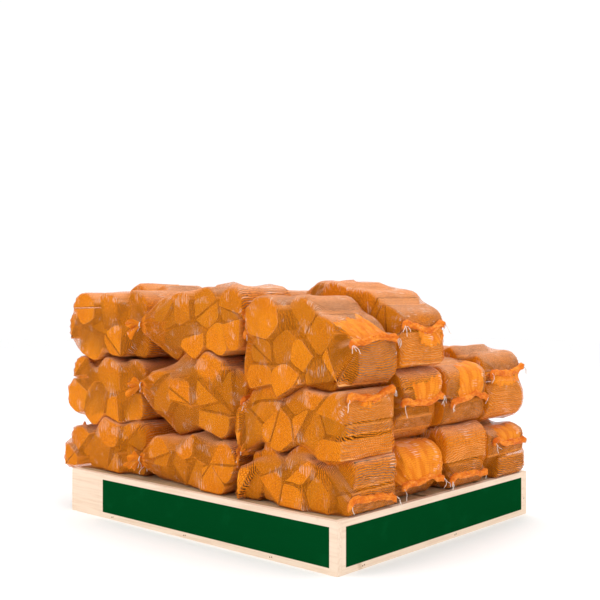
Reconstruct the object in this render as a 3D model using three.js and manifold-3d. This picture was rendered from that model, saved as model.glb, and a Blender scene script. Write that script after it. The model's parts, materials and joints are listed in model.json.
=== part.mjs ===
// A pallet of netted beech logs: net bags of short split logs in three columns and four
// rows, laid two and three high on a block pallet with a board round its sides.
// X runs along the pallet's long side, the log ends face -Y, Z is up, millimetres.
import * as THREE from "three";
import { mergeVertices } from "three/addons/utils/BufferGeometryUtils.js";
import Module from "manifold-3d";

const wasm = await Module();
wasm.setup();

// The block pallet.
const PALLET_LENGTH = 1200;
const PALLET_WIDTH = 1000;
const BOARD_THICKNESS = 22;
const BLOCK_HEIGHT = 84;
const DECK_BOARDS = 7;
const DECK_BOARD_WIDTH = 120;
const STRINGER_WIDTH = 100;
const BLOCK_LENGTH = 140;
const FOOT_BOARD_WIDTH = 100;

// The board round the pallet, and the gap that touching pieces keep.
const SURROUND_THICKNESS = 18;
const SURROUND_HEIGHT = 150;
const GAP = 0.3;

// The logs: a row of bags is as deep as a log is long.
const ROW_PITCH = 252;
const ROW_DEPTH = 249;
const END_SETBACK = 17;
const LOG_SIDES = 7;
const LOG_FULLNESS = 1.45;
const LOG_ROUGHNESS = 0.09;
const FUSE = 1;
const BAG_GAP = 2.4;
const SHORTEST_EDGE = 15;
const LIMIT_SPREAD = 16;
const NEAREST_SIDE = 0.8;

// The net's gathered neck at -X: it starts inside the logs, narrows to a tie and flares.
const NECK_RADII = [32, 8, 14];
const NECK_STEPS = [0, 0.72, 1];
const NECK_SIDES = 5;
const NECK_START = 26;
const NECK_MARGIN = NECK_RADII[0] + 4;
const NECK_OFF_MIDDLE = 40;
const NECK_AHEAD = 14;
const NECK_TIPS = {
  forward: { out: 68, up: 4 },
  free: { out: 34, up: 6 },
  tucked: { out: 22, up: 0 },
};

// Its sewn hem at +X, a ridge along Y that waves up and down.
const HEM_STANDS_OUT = 9;
const HEM_THICKNESS = 11;
const HEM_BEDDED = 8;
const HEM_STEPS = 3;
const HEM_WAVES = [
  { height: 9, along: 5.2, turn: 6 },
  { height: 4, along: 11, turn: 9 },
];

// What necks and hems keep clear of other bags, and the weights of the log's dice.
const CLEARANCE = 1.6;
const CHANCE_WEIGHTS = [127.1, 311.7, 74.7];
const CHANCE_SPREAD = 43758.5453;

// How the logs lie in a bag, seen from the front: across from the bag's middle, up from
// its lowest log, and the log's rough radius.
const PACKINGS = {
  low_left: [
    [40, 150, 50], [148, 140, 52], [-140, 92, 46], [-42, 58, 60], [128, 42, 52],
    [-188, 34, 38], [44, 38, 40],
  ],
  low_middle: [
    [-40, 142, 46], [58, 144, 50], [-160, 92, 44], [-86, 52, 46], [-2, 50, 42],
    [146, 98, 50], [92, 38, 46], [-162, 24, 34],
  ],
  low_right: [
    [-112, 128, 48], [-176, 46, 46], [-82, 56, 48], [20, 122, 54], [6, 34, 42],
    [100, 50, 50], [158, 106, 54], [178, 34, 40],
  ],
  mid_left: [
    [-118, 160, 46], [-158, 74, 52], [30, 152, 58], [-34, 56, 60], [136, 58, 58],
    [130, 158, 48], [58, 40, 46],
  ],
  mid_middle: [
    [-62, 206, 50], [-172, 116, 56], [-64, 122, 50], [-70, 40, 64], [58, 126, 54],
    [152, 140, 50], [80, 42, 62], [70, 208, 50],
  ],
  mid_right: [
    [-112, 138, 54], [-176, 46, 52], [-52, 56, 56], [18, 160, 46], [66, 76, 52],
    [156, 112, 60], [152, 24, 44], [98, 164, 38],
  ],
  top_left: [
    [18, 158, 50], [132, 166, 50], [-104, 162, 48], [-176, 100, 44], [-70, 58, 58],
    [58, 64, 46], [146, 58, 52],
  ],
  top_middle: [
    [-156, 134, 48], [-126, 50, 56], [-8, 56, 58], [34, 150, 56], [104, 58, 46],
    [184, 84, 44], [164, 164, 48], [-62, 146, 46],
  ],
  high_right: [
    [-142, 156, 54], [-42, 150, 56], [60, 134, 56], [140, 92, 52], [-124, 50, 58],
    [-12, 42, 58], [96, 30, 54], [180, 26, 42],
  ],
  top_right: [
    [-108, 196, 56], [24, 212, 48], [-126, 104, 40], [-42, 116, 46], [34, 96, 44],
    [-126, 28, 44], [-8, 26, 52], [98, 156, 50], [170, 96, 54], [104, 38, 50],
  ],
};

// The three columns: each one's middle and its limits along X.
const COLUMNS = {
  left: { middle: -470, from: -694, to: -258 },
  middle: { middle: -2, from: -222, to: 216 },
  right: { middle: 418, from: 205, to: 630 },
};

// The four rows from the front. Every bag has its layer and column, its packing and whether
// that is turned end for end, its base, and its neck's and its hem's height above the base.
const ROWS = [
  [
    ["bottom", "left", "low_left", false, 150, 118, 60],
    ["bottom", "middle", "low_middle", false, 150, 66, 90],
    ["bottom", "right", "low_right", false, 150, 150, 44],
    ["middle", "left", "mid_left", false, 330, 112, 130],
    ["middle", "middle", "mid_middle", false, 334, 130, 120],
    ["middle", "right", "mid_right", false, 312, 124, 170],
    ["top", "left", "top_left", false, 552, 110, 120],
    ["top", "middle", "top_middle", false, 568, 96, 90],
    ["top", "right", "top_right", false, 494, 210, 148],
  ],
  [
    ["bottom", "left", "low_right", true, 150, 90, 60],
    ["bottom", "middle", "low_left", true, 150, 90, 90],
    ["bottom", "right", "low_middle", false, 150, 90, 60],
    ["middle", "left", "mid_middle", true, 336, 120, 110],
    ["middle", "middle", "mid_right", true, 344, 110, 100],
    ["middle", "right", "mid_middle", false, 342, 120, 104],
    ["top", "left", "top_middle", true, 580, 90, 110],
    ["top", "middle", "top_left", true, 562, 110, 110],
    ["top", "right", "high_right", false, 582, 96, 90],
  ],
  [
    ["bottom", "left", "low_middle", true, 150, 90, 60],
    ["bottom", "middle", "low_right", false, 150, 90, 60],
    ["bottom", "right", "low_left", false, 150, 90, 44],
    ["middle", "left", "mid_right", false, 346, 100, 90],
    ["middle", "middle", "mid_left", true, 350, 100, 90],
    ["middle", "right", "top_middle", true, 350, 100, 92],
  ],
  [
    ["bottom", "left", "low_left", true, 150, 90, 60],
    ["bottom", "middle", "low_middle", true, 150, 90, 60],
    ["bottom", "right", "low_right", false, 150, 90, 120],
    ["middle", "left", "mid_left", true, 350, 100, 90],
    ["middle", "middle", "mid_right", true, 352, 100, 90],
    ["middle", "right", "mid_left", false, 358, 100, 150],
  ],
];

const materials = {
  netted_beech: new THREE.MeshStandardMaterial({ color: 0xd9771f, roughness: 0.75 }),
  pallet_wood: new THREE.MeshStandardMaterial({ color: 0xc9a472, roughness: 0.85 }),
  surround_wood: new THREE.MeshStandardMaterial({ color: 0xf0d9bb, roughness: 0.7 }),
};

const stack = new THREE.Group();

function addPiece(name, geometry, material) {
  const piece = new THREE.Mesh(geometry, material);
  piece.name = name;
  stack.add(piece);
  return piece;
}

function addBoard(name, size, place, material) {
  addPiece(name, new THREE.BoxGeometry(...size), material).position.set(...place);
}

// A closed mesh as a solid for joining and cutting, and back again.
function solidOf(geometry) {
  const bare = geometry.index ? geometry.toNonIndexed() : geometry.clone();
  bare.deleteAttribute("normal");
  bare.deleteAttribute("uv");
  const merged = mergeVertices(bare, 1e-3);
  return new wasm.Manifold(
    new wasm.Mesh({
      numProp: 3,
      vertProperties: merged.attributes.position.array,
      triVerts: new Uint32Array(merged.index.array),
    }),
  );
}

function geometryOf(solid) {
  const mesh = solid.getMesh();
  const geometry = new THREE.BufferGeometry();
  geometry.setAttribute("position", new THREE.BufferAttribute(mesh.vertProperties, 3));
  geometry.setIndex(new THREE.BufferAttribute(mesh.triVerts, 1));
  geometry.computeVertexNormals();
  return geometry;
}

// A steady number from 0 to 1 for a log or a bag, so that each one differs a little.
function chance(a, b, c) {
  const [first, second, third] = CHANCE_WEIGHTS;
  const wave = Math.sin(a * first + b * second + c * third) * CHANCE_SPREAD;
  return wave - Math.floor(wave);
}

// The pallet: foot boards along X, blocks, stringers along Y and the deck along X.
function buildPallet() {
  const thirds = [-1, 0, 1];
  const sides = ["front", "centre", "back"];
  const ends = ["left", "centre", "right"];
  const wood = materials.pallet_wood;
  const footY = (PALLET_WIDTH - FOOT_BOARD_WIDTH) / 2;
  const blockX = (PALLET_LENGTH - BLOCK_LENGTH) / 2;
  const thick = BOARD_THICKNESS - GAP;
  const blockBase = BOARD_THICKNESS;
  const stringerBase = blockBase + BLOCK_HEIGHT;
  const deckBase = stringerBase + BOARD_THICKNESS;

  thirds.forEach((row, i) => {
    addBoard(
      `pallet_foot_board_${sides[i]}`,
      [PALLET_LENGTH, FOOT_BOARD_WIDTH, thick],
      [0, row * footY, thick / 2],
      wood,
    );
    thirds.forEach((column, j) => {
      addBoard(
        `pallet_block_${sides[i]}_${ends[j]}`,
        [BLOCK_LENGTH, FOOT_BOARD_WIDTH, BLOCK_HEIGHT - GAP],
        [column * blockX, row * footY, blockBase + (BLOCK_HEIGHT - GAP) / 2],
        wood,
      );
    });
    const stringerX = row * (PALLET_LENGTH - STRINGER_WIDTH) * 0.5;
    addBoard(
      `pallet_stringer_${ends[i]}`,
      [STRINGER_WIDTH, PALLET_WIDTH, thick],
      [stringerX, 0, stringerBase + thick / 2],
      wood,
    );
  });
  const pitch = (PALLET_WIDTH - DECK_BOARD_WIDTH) / (DECK_BOARDS - 1);
  for (let i = 0; i < DECK_BOARDS; i++) {
    addBoard(
      `pallet_deck_board_${i + 1}`,
      [PALLET_LENGTH, DECK_BOARD_WIDTH, thick],
      [0, (DECK_BOARD_WIDTH - PALLET_WIDTH) / 2 + i * pitch, deckBase + thick / 2],
      wood,
    );
  }
}

// The surround: full-length boards front and back, the end boards between them.
function buildSurround() {
  const reachX = PALLET_LENGTH / 2 + GAP;
  const reachY = PALLET_WIDTH / 2 + GAP;
  const half = SURROUND_THICKNESS / 2;
  const height = SURROUND_HEIGHT - GAP;
  const longBoard = [2 * (reachX + SURROUND_THICKNESS), SURROUND_THICKNESS, height];
  const endBoard = [SURROUND_THICKNESS, 2 * (reachY - GAP), height];
  const wood = materials.surround_wood;
  addBoard("surround_board_front", longBoard, [0, -reachY - half, height / 2], wood);
  addBoard("surround_board_back", longBoard, [0, reachY + half, height / 2], wood);
  addBoard("surround_board_left", endBoard, [-reachX - half, 0, height / 2], wood);
  addBoard("surround_board_right", endBoard, [reachX + half, 0, height / 2], wood);
}

// A convex outline cut off along the line a x + b z = c, keeping the lower side.
function cutOff(outline, a, b, c) {
  const kept = [];
  outline.forEach((p, i) => {
    const q = outline[(i + 1) % outline.length];
    const dp = a * p.x + b * p.y - c;
    const dq = a * q.x + b * q.y - c;
    if (dp <= 0) kept.push(p);
    if (dp * dq < 0) kept.push(p.clone().lerp(q, dp / (dp - dq)));
  });
  return kept;
}

// Neighbouring corners closer than the shortest edge become one.
function withoutShortEdges(outline) {
  const kept = [];
  outline.forEach((p) => {
    if (kept.every((q) => q.distanceTo(p) > SHORTEST_EDGE)) kept.push(p);
  });
  return kept;
}

// A log's end: rough round, cut flat where it lies against its neighbours.
function logOutline(log, row) {
  const turn = chance(log.x, log.z, 1) * Math.PI;
  let outline = [];
  for (let i = 0; i < LOG_SIDES; i++) {
    const angle = turn + (i / LOG_SIDES) * 2 * Math.PI;
    const uneven = 1 + LOG_ROUGHNESS * (2 * chance(log.x, log.z, i + 2) - 1);
    const reach = log.radius * LOG_FULLNESS * uneven;
    outline.push(
      new THREE.Vector2(log.x + reach * Math.cos(angle), log.z + reach * Math.sin(angle)),
    );
  }
  for (const other of row) {
    if (other === log) continue;
    const dx = other.x - log.x;
    const dz = other.z - log.z;
    const apart = Math.hypot(dx, dz);
    const gap = other.bag === log.bag ? -FUSE : BAG_GAP;
    const share = (apart ** 2 + log.radius ** 2 - other.radius ** 2) / (2 * apart) - gap / 2;
    const along = (log.x * dx + log.z * dz) / apart;
    outline = cutOff(outline, dx / apart, dz / apart, along + share);
  }
  outline = cutOff(outline, -1, 0, -log.bag.from);
  outline = cutOff(outline, 1, 0, log.bag.to);
  outline = cutOff(outline, 0, -1, -(SURROUND_HEIGHT + GAP));
  return withoutShortEdges(outline);
}

// A log as a solid, or grown all round to keep others clear of it.
function logSolid(log, grow) {
  const middle = log.outline
    .reduce((sum, p) => sum.add(p), new THREE.Vector2())
    .divideScalar(log.outline.length);
  const scale = 1 + grow / (NEAREST_SIDE * log.radius);
  const shape = new THREE.Shape(
    log.outline.map((p) => p.clone().sub(middle).multiplyScalar(scale).add(middle)),
  );
  const depth = log.back - log.front + 2 * grow;
  const geometry = new THREE.ExtrudeGeometry(shape, { depth, bevelEnabled: false });
  geometry.rotateX(Math.PI / 2).translate(0, log.back + grow, 0);
  return solidOf(geometry);
}

// The neck: the net gathers to a tie and flares again behind it.
function neckSolid(start, tip, grow) {
  const path = new THREE.Vector3().subVectors(tip, start);
  const length = path.length() + grow;
  const profile = [new THREE.Vector2(0, 0)];
  NECK_RADII.forEach((radius, i) => {
    profile.push(new THREE.Vector2(radius + grow, NECK_STEPS[i] * length));
  });
  profile.push(new THREE.Vector2(0, length));
  const geometry = new THREE.LatheGeometry(profile, NECK_SIDES);
  const turned = new THREE.Quaternion().setFromUnitVectors(
    new THREE.Vector3(0, 1, 0),
    path.clone().normalize(),
  );
  geometry.applyQuaternion(turned).translate(start.x, start.y, start.z);
  return solidOf(geometry);
}

// The hem: a ruffled ridge along the bag's +X end, bedded in the log that it lies on.
function hemSolid(side, front, back, height, turn, grow) {
  const upper = [];
  const lower = [];
  const half = HEM_THICKNESS / 2 + grow;
  for (let i = 0; i <= HEM_STEPS; i++) {
    const along = i / HEM_STEPS;
    const y = front - grow + along * (back - front + 2 * grow);
    const middle = HEM_WAVES.reduce(
      (sum, wave) => sum + wave.height * Math.sin(along * wave.along + turn * wave.turn),
      height,
    );
    upper.push(new THREE.Vector2(y, middle + half));
    lower.push(new THREE.Vector2(y, middle - half));
  }
  const shape = new THREE.Shape([...lower, ...upper.reverse()]);
  const depth = HEM_BEDDED + HEM_STANDS_OUT + grow;
  const geometry = new THREE.ExtrudeGeometry(shape, { depth, bevelEnabled: false });
  geometry.rotateX(Math.PI / 2).rotateZ(Math.PI / 2).translate(side - HEM_BEDDED, 0, 0);
  return solidOf(geometry);
}

// How far the logs reach towards -X (way -1) or +X (way 1) at a height.
function sideAt(logs, height, way) {
  let reach = -Infinity;
  for (const log of logs) {
    log.outline.forEach((p, i) => {
      const q = log.outline[(i + 1) % log.outline.length];
      if ((p.y - height) * (q.y - height) > 0) return;
      const x = p.y === q.y ? p.x : p.x + ((height - p.y) / (q.y - p.y)) * (q.x - p.x);
      reach = Math.max(reach, way * x);
    });
  }
  return way * reach;
}

// The neck's tip: in the front row the middle column's necks lie forward over the bags
// beside them, the left column's stand free, and any other is tucked between two columns.
function neckTip(bag, side, height) {
  let way = "tucked";
  let y = bag.front + NECK_MARGIN;
  if (bag.column === "left") {
    way = "free";
    y = bag.centre - NECK_OFF_MIDDLE;
  } else if (bag.rowIndex === 0 && bag.column === "middle") {
    way = "forward";
    y = bag.front - NECK_AHEAD;
  }
  const { out, up } = NECK_TIPS[way];
  return new THREE.Vector3(side - out, y, height + up);
}

// A bag's neck and hem as one solid, or grown all round to keep others clear of it.
function trimSolid(bag, grow) {
  const neckHeight = bag.base + bag.neck;
  const left = sideAt(bag.logs, neckHeight, -1);
  const tip = neckTip(bag, left, neckHeight);
  const startY = Math.max(tip.y, bag.front + NECK_MARGIN);
  const start = new THREE.Vector3(left + NECK_START, startY, neckHeight);
  const hemHeight = bag.base + bag.hem;
  const right = sideAt(bag.logs, hemHeight, 1);
  const inset = 2 * END_SETBACK;
  const turn = chance(bag.rowIndex, hemHeight, right);
  const hem = hemSolid(right, bag.front + inset, bag.back - inset, hemHeight, turn, grow);
  return neckSolid(start, tip, grow).add(hem);
}

function buildRow(specs, rowIndex) {
  const centre = (rowIndex - (ROWS.length - 1) / 2) * ROW_PITCH;
  const front = centre - ROW_DEPTH / 2;
  const back = centre + ROW_DEPTH / 2;
  const bags = specs.map(([layer, column, packing, turned, base, neck, hem], index) => {
    const { middle, from, to } = COLUMNS[column];
    const bag = { layer, column, rowIndex, centre, front, back, base, neck, hem };
    bag.name = `log_net_row_${rowIndex + 1}_${layer}_${column}`;
    bag.from = from + LIMIT_SPREAD * chance(rowIndex, index, 31);
    bag.to = to - LIMIT_SPREAD * chance(rowIndex, index, 32);
    const backShows = rowIndex === ROWS.length - 1 || layer === "top";
    const backSetback = backShows && rowIndex > 0 ? END_SETBACK : 0;
    bag.logs = PACKINGS[packing].map(([across, up, radius], i) => ({
      bag,
      radius,
      x: middle + (turned ? -across : across),
      z: base + up,
      front: front + END_SETBACK * chance(index, rowIndex, i),
      back: back - backSetback * chance(index, rowIndex, i + 20),
    }));
    return bag;
  });
  const row = bags.flatMap((bag) => bag.logs);
  for (const log of row) log.outline = logOutline(log, row);
  for (const log of row) log.keepClear = logSolid(log, CLEARANCE);

  const placed = [];
  for (const bag of bags) {
    let trim = trimSolid(bag, 0);
    for (const log of row) {
      if (log.bag !== bag) trim = trim.subtract(log.keepClear);
    }
    for (const earlier of placed) trim = trim.subtract(earlier);
    placed.push(trimSolid(bag, CLEARANCE));
    const solid = bag.logs.reduce((sum, log) => sum.add(logSolid(log, 0)), trim);
    const bodies = solid.decompose().sort((a, b) => b.volume() - a.volume());
    addPiece(bag.name, geometryOf(bodies[0]), materials.netted_beech);
  }
}

buildPallet();
buildSurround();
ROWS.forEach(buildRow);

export default stack;
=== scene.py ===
import json
import math
import random

import bmesh
import bpy
import numpy as np
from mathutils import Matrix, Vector, noise
from mathutils.bvhtree import BVHTree

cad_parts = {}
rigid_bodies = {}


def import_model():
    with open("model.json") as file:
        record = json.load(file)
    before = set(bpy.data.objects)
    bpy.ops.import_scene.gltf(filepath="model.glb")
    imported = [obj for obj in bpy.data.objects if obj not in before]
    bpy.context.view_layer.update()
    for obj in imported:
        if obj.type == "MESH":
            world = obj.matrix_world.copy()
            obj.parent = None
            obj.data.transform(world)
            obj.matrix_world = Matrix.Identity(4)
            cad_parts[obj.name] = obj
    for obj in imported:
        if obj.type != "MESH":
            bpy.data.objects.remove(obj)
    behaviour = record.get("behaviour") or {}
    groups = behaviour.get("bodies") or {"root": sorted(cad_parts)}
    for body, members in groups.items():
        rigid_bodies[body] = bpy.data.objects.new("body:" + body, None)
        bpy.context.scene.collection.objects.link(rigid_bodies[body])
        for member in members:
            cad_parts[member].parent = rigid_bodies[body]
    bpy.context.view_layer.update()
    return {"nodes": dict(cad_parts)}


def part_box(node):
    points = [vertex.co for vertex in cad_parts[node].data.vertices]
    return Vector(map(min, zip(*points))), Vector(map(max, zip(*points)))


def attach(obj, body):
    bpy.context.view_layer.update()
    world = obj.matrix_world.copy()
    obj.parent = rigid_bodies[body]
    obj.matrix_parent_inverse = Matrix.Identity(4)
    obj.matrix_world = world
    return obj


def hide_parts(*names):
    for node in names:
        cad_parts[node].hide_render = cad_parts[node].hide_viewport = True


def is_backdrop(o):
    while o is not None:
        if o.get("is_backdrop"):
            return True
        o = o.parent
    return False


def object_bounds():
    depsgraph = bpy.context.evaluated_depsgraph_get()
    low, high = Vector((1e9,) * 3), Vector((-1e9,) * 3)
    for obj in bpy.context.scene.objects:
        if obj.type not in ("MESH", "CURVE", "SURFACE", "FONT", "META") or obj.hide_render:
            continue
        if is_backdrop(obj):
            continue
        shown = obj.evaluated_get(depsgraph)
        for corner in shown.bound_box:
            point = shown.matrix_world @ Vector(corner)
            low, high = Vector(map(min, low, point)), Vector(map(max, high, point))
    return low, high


for leftover in list(bpy.data.objects):
    bpy.data.objects.remove(leftover)
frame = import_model()

# The camera: level with the top bags, a little nearer to the side with the log ends than
# to the side with the hems.
CAMERA_PLACE = (2.259, -2.486, 0.751)
CAMERA_TURN = math.radians(42.09)
CAMERA_LENS = 56.74

camera = bpy.data.objects.new("camera", bpy.data.cameras.new("camera"))
camera.data.lens = CAMERA_LENS
camera.location = CAMERA_PLACE
camera.rotation_euler = (math.pi / 2, 0, CAMERA_TURN)
bpy.context.scene.collection.objects.link(camera)
bpy.context.scene.camera = camera


# The pallet: rough sawn softwood boards nailed over nine blocks. Only its underside and the
# gaps between the bags show it, so the solids stay as they are and get sawn wood.
SOFTWOOD_PALE = (0.62, 0.45, 0.27, 1)
SOFTWOOD_DARK = (0.36, 0.23, 0.12, 1)
PALLET_WEAR = 0.0015
WELD_DISTANCE = 1e-5
EVEN = (1, 1, 1)
CLOUD_GRIT = 0.55
SHEEN_ROUGHNESS = 0.3


class Socket:
    """A shader socket: sums on it add Math nodes, and node() adds any other node."""

    def __init__(self, tree, socket=None):
        self.tree = tree
        self.socket = socket

    def node(self, kind, settings=None, inputs=None, out=0):
        made = self.tree.nodes.new(kind)
        for name, value in (settings or {}).items():
            setattr(made, name, value)
        for name, value in (inputs or {}).items():
            if isinstance(value, Socket):
                self.tree.links.new(value.socket, made.inputs[name])
            else:
                made.inputs[name].default_value = value
        return Socket(self.tree, made.outputs[out])

    def math(self, operation, *values):
        return self.node("ShaderNodeMath", {"operation": operation}, dict(enumerate(values)))

    def __add__(self, other):
        return self.math("ADD", self, other)

    def __radd__(self, other):
        return self.math("ADD", other, self)

    def __sub__(self, other):
        return self.math("SUBTRACT", self, other)

    def __rsub__(self, other):
        return self.math("SUBTRACT", other, self)

    def __mul__(self, other):
        return self.math("MULTIPLY", self, other)

    def __rmul__(self, other):
        return self.math("MULTIPLY", other, self)

    def sine(self):
        return self.math("SINE", self)

    def root(self):
        return self.math("SQRT", self)

    def larger(self, other):
        return self.math("MAXIMUM", self, other)

    def over(self, low, high):
        """0 where this is under low, 1 where it is over high."""
        settings = {"interpolation_type": "SMOOTHSTEP"}
        return self.node("ShaderNodeMapRange", settings, {0: self, 1: low, 2: high})

    def mix(self, first, second):
        """The first colour where this is 0, the second where it is 1."""
        settings = {"data_type": "RGBA"}
        return self.node("ShaderNodeMix", settings, {0: self, 6: first, 7: second}, out=2)

    def noise(self, stretch, scale, detail=3.0):
        """A cloud pattern on these coordinates, stretched by a factor on each axis."""
        place = self.node("ShaderNodeMapping", None, {"Vector": self, "Scale": stretch})
        sizes = {"Vector": place, "Scale": scale, "Detail": detail, "Roughness": CLOUD_GRIT}
        return self.node("ShaderNodeTexNoise", None, sizes)

    def axes(self):
        """The three parts of a vector."""
        made = self.node("ShaderNodeSeparateXYZ", None, {0: self})
        outputs = made.socket.node.outputs
        return [Socket(self.tree, outputs[i]) for i in range(3)]

    def attribute(self, name, out="Fac"):
        """What the mesh's points carry under this name."""
        return self.node("ShaderNodeAttribute", {"attribute_name": name}, out=out)


def new_material(name, specular=0.5, sheen=0.0):
    """A material's shader, the start of its node sums, and the object's coordinates."""
    material = bpy.data.materials.new(name)
    material.use_nodes = True
    shader = material.node_tree.nodes["Principled BSDF"]
    shader.inputs["Specular IOR Level"].default_value = specular
    shader.inputs["Sheen Weight"].default_value = sheen
    shader.inputs["Sheen Roughness"].default_value = SHEEN_ROUGHNESS
    start = Socket(material.node_tree)
    place = start.node("ShaderNodeTexCoord", out="Object")
    return material, shader, start, place


def feed(shader, **values):
    """Links or sets the shader's sockets, with _ for a space in their names."""
    for name, value in values.items():
        socket = shader.inputs[name.replace("_", " ")]
        if isinstance(value, Socket):
            value.tree.links.new(value.socket, socket)
        else:
            socket.default_value = value


def bump(start, height, distance):
    """A Bump node for a shader's Normal."""
    sizes = {"Strength": 1.0, "Distance": distance, "Height": height}
    return start.node("ShaderNodeBump", None, sizes)


def sawn_softwood(name, along):
    """Rough softwood with its grain along X or along Y."""
    material, shader, start, place = new_material(name, specular=0.2)
    stretch = (1.5, 30, 30) if along == "x" else (30, 1.5, 30)
    grain = place.noise(stretch, scale=6.0, detail=4.0)
    fuzz = place.noise(stretch, scale=40.0, detail=2.0)
    tone = (grain * 0.7 + fuzz * 0.3).over(0.35, 0.68)
    feed(shader, Base_Color=tone.mix(SOFTWOOD_PALE, SOFTWOOD_DARK))
    feed(shader, Roughness=0.75 + fuzz * 0.2)
    feed(shader, Normal=bump(start, fuzz, 0.0012))
    return material


def dress(piece, material):
    piece.data.materials.clear()
    piece.data.materials.append(material)


def ease_edges(piece, width):
    """Takes the sharpness off a board's edges, as wear does."""
    weld = piece.modifiers.new("weld", "WELD")
    weld.merge_threshold = WELD_DISTANCE
    bevel = piece.modifiers.new("bevel", "BEVEL")
    bevel.width = width
    bevel.segments = 2


pallet_along = sawn_softwood("pallet_wood_along_x", "x")
pallet_across = sawn_softwood("pallet_wood_along_y", "y")
for name, node in frame["nodes"].items():
    if name.startswith("pallet_"):
        dress(node, pallet_across if "stringer" in name else pallet_along)
        ease_edges(node, PALLET_WEAR)


# The surround: four pale spruce boards nailed round the pallet. Each carries a plain deep
# green panel printed on the wood, with a margin of bare wood all round.
SPRUCE_PALE = (0.85, 0.68, 0.53, 1)
SPRUCE_GRAIN = (0.74, 0.53, 0.38, 1)
PRINT_GREEN = (0.0004, 0.050, 0.0105, 1)
PRINT_WORN = (0.0016, 0.070, 0.018, 1)
PANEL_MARGIN = 0.019
PANEL_BLUR = 0.0006
BOARD_HEIGHT = 0.15
LONG_PANEL = (-0.437, 0.589)
SHORT_PANEL = (-0.482, 0.484)
KNOT_BROWN = (0.42, 0.24, 0.11, 1)
BOARD_WEAR = 0.0012


def printed_board(name, along, panel):
    """A spruce board with its grain and its printed panel along one axis."""
    material, shader, start, place = new_material(name, specular=0.0)
    x, y, z = place.axes()
    run = x if along == "x" else y
    stretch = (1, 24, 24) if along == "x" else (24, 1, 24)
    grain = place.noise(stretch, scale=5.0, detail=4.0)
    fibres = place.noise(stretch, scale=26.0, detail=2.0)
    knots = place.noise(EVEN, scale=9.0, detail=1.0).over(0.74, 0.8)
    streaks = (grain * 0.75 + fibres * 0.25).over(0.42, 0.7)
    wood = (streaks * 0.75).mix(SPRUCE_PALE, SPRUCE_GRAIN)
    wood = (knots * 0.5).mix(wood, KNOT_BROWN)
    printed = run.over(panel[0] - PANEL_BLUR, panel[0] + PANEL_BLUR)
    printed = printed * (1 - run.over(panel[1] - PANEL_BLUR, panel[1] + PANEL_BLUR))
    printed = printed * z.over(PANEL_MARGIN - PANEL_BLUR, PANEL_MARGIN + PANEL_BLUR)
    top = BOARD_HEIGHT - PANEL_MARGIN
    printed = printed * (1 - z.over(top - PANEL_BLUR, top + PANEL_BLUR))
    worn = place.noise(EVEN, scale=14.0, detail=4.0).over(0.5, 0.85)
    green = (worn * 0.6 + fibres * 0.25).mix(PRINT_GREEN, PRINT_WORN)
    feed(shader, Base_Color=printed.mix(wood, green))
    feed(shader, Roughness=0.62 - printed * 0.14 + fibres * 0.1)
    feed(shader, Normal=bump(start, fibres * (1 - printed * 0.6), 0.0006))
    return material


def turned(panel):
    """The same panel on the board across from it."""
    return (-panel[1], -panel[0])


boards = {
    "surround_board_front": ("x", LONG_PANEL),
    "surround_board_back": ("x", turned(LONG_PANEL)),
    "surround_board_right": ("y", SHORT_PANEL),
    "surround_board_left": ("y", turned(SHORT_PANEL)),
}
for name, (along, panel) in boards.items():
    dress(frame["nodes"][name], printed_board(name + "_wood", along, panel))
    ease_edges(frame["nodes"][name], BOARD_WEAR)


# The nails of the surround: flat steel heads, gone brown. They are driven in pairs along the
# boards' lower edges, and once more near one end of each short board.
NAIL_RADIUS = 0.0022
NAIL_HEIGHT = 0.0007
NAIL_LOW = 0.0085
NAIL_PAIR = 0.0075
NAIL_STAGGER = 0.0015
FRONT_NAILS = (-0.386, -0.013, 0.364)
SIDE_NAILS = (-0.408, 0.061)
SINGLE_NAIL = (0.502, 0.056)
RUST_DARK = (0.16, 0.07, 0.03, 1)
RUST_PALE = (0.3, 0.16, 0.08, 1)


def piece_from(shape, name, materials):
    """Makes a bmesh a smooth piece of the scene that rides on the object."""
    mesh = bpy.data.meshes.new(name)
    for face in shape.faces:
        face.smooth = True
    shape.to_mesh(mesh)
    shape.free()
    piece = bpy.data.objects.new(name, mesh)
    bpy.context.scene.collection.objects.link(piece)
    for material in materials:
        mesh.materials.append(material)
    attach(piece, "root")
    return piece


def extrude_rings(shape, rings):
    """Extrudes a ring of points through more rings, closes both ends, and gives back the
    vertices of each ring."""
    row = [shape.verts.new(p) for p in rings[0]]
    edges = [shape.edges.new(pair) for pair in zip(row, row[1:] + row[:1])]
    rows = [row]
    for ring in rings[1:]:
        made = bmesh.ops.extrude_edge_only(shape, edges=edges)["geom"]
        edges = [g for g in made if isinstance(g, bmesh.types.BMEdge) and len(g.link_faces) == 1]
        fresh = {v for e in edges for v in e.verts}
        follow = {}
        for vert in fresh:
            for edge in vert.link_edges:
                if edge.other_vert(vert) not in fresh:
                    follow[edge.other_vert(vert)] = vert
        rows.append([follow[v] for v in rows[-1]])
        for vert, place in zip(rows[-1], ring):
            vert.co = place
    shape.faces.new(rows[0])
    shape.faces.new(list(reversed(rows[-1])))
    return rows


def add_nail(shape, place, facing):
    """A nail's flat head, domed a little, on a board that faces X or Y."""
    made = bmesh.ops.create_uvsphere(shape, u_segments=12, v_segments=6, radius=NAIL_RADIUS)
    flat = NAIL_HEIGHT / NAIL_RADIUS
    squash = (flat, 1, 1) if facing == "x" else (1, flat, 1)
    bmesh.ops.scale(shape, vec=squash, verts=made["verts"])
    bmesh.ops.translate(shape, vec=place, verts=made["verts"])


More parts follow.
